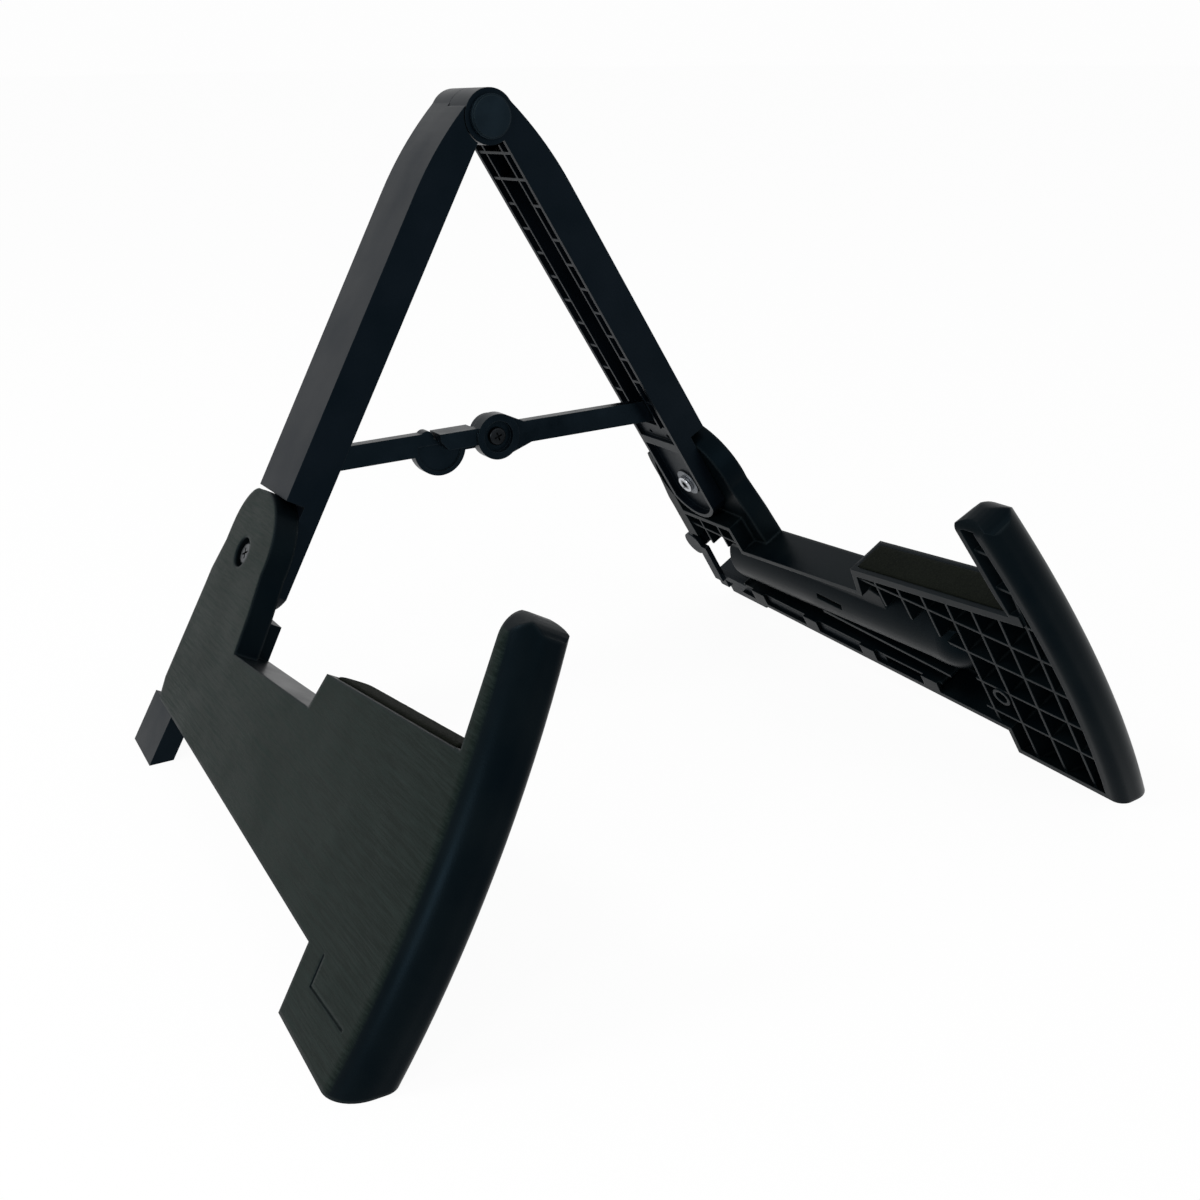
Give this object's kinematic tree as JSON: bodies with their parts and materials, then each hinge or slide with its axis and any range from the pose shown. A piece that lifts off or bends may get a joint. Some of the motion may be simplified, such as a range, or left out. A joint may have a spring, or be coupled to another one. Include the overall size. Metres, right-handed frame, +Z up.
{
  "type": "guitar stand",
  "caption": "Folding A-frame floor stand with ribbed plastic arms, cradle legs with foam pads, a jointed spreader strut and rear feet that slide out.",
  "frame": {"origin": "middle of the footprint on the floor", "axes": "+Z up, -Y towards the front where the posts hold the instrument, X across the stand"},
  "size_m": [0.3986, 0.3031, 0.3007],
  "materials": {
    "arm_plastic": "moulded, fine brushed grain, satin",
    "leg_plastic": "moulded, fine brushed grain, satin front edge",
    "link_plastic": "moulded, satin",
    "cap_plastic": "moulded, soft gloss",
    "foot_plastic": "moulded, matt",
    "pad_foam": "soft foam, matt",
    "screw_steel": "dark plated, satin",
    "nut_steel": "zinc plated, bright"
  },
  "bodies": {
    "left_leg": {"left_leg": "leg_plastic", "left_pad": "pad_foam"},
    "left_arm": {"left_arm": "arm_plastic", "left_link_pin": "screw_steel", "left_elbow_screw": "screw_steel", "left_elbow_washer": "nut_steel", "left_elbow_nut": "nut_steel"},
    "left_link": {"left_link": "link_plastic"},
    "right_arm": {"right_arm": "arm_plastic", "apex_pin": "cap_plastic", "apex_cap": "cap_plastic", "right_link_pin": "screw_steel", "right_elbow_screw": "screw_steel", "right_elbow_washer": "nut_steel", "right_elbow_nut": "nut_steel"},
    "right_link": {"right_link": "link_plastic", "hub_screw": "screw_steel"},
    "right_leg": {"right_leg": "leg_plastic", "right_pad": "pad_foam"},
    "left_rear_foot": {"left_rear_foot": "foot_plastic"},
    "right_rear_foot": {"right_rear_foot": "foot_plastic"}
  },
  "joints": [
    {"name": "left_elbow", "type": "hinge", "parent": "left_leg", "child": "left_arm", "pos_m": [-0.115, 0.11578, 0.08812], "axis": [0.866, -0.0279, -0.4992], "range_deg": [0, 65]},
    {"name": "top_pivot", "type": "hinge", "parent": "left_arm", "child": "right_arm", "pos_m": [0, 0.1269, 0.287], "axis": [0, 0.9984, -0.0558], "range_deg": [0, 56]},
    {"name": "left_strut", "type": "hinge", "parent": "left_arm", "child": "left_link", "pos_m": [-0.09829, 0.1184, 0.13499], "axis": [0, -0.9984, 0.0558], "range_deg": [0, 56]},
    {"name": "right_strut", "type": "hinge", "parent": "right_arm", "child": "right_link", "pos_m": [0.09829, 0.1184, 0.13499], "axis": [0, 0.9984, -0.0558], "range_deg": [0, 56]},
    {"name": "right_elbow", "type": "hinge", "parent": "right_arm", "child": "right_leg", "pos_m": [0.115, 0.11578, 0.08812], "axis": [-0.866, -0.0279, -0.4992], "range_deg": [0, 65]},
    {"name": "left_foot_slide", "type": "slide", "parent": "left_leg", "child": "left_rear_foot", "axis": [0.0322, 0.9995, 0], "range_m": [0, 0.06]},
    {"name": "right_foot_slide", "type": "slide", "parent": "right_leg", "child": "right_rear_foot", "axis": [-0.0322, 0.9995, 0], "range_m": [0, 0.06]}
  ],
  "couplings": [
    {"joint": "left_strut", "follows": "top_pivot", "ratio": 0.94712},
    {"joint": "right_strut", "follows": "top_pivot", "ratio": 0.94712}
  ]
}
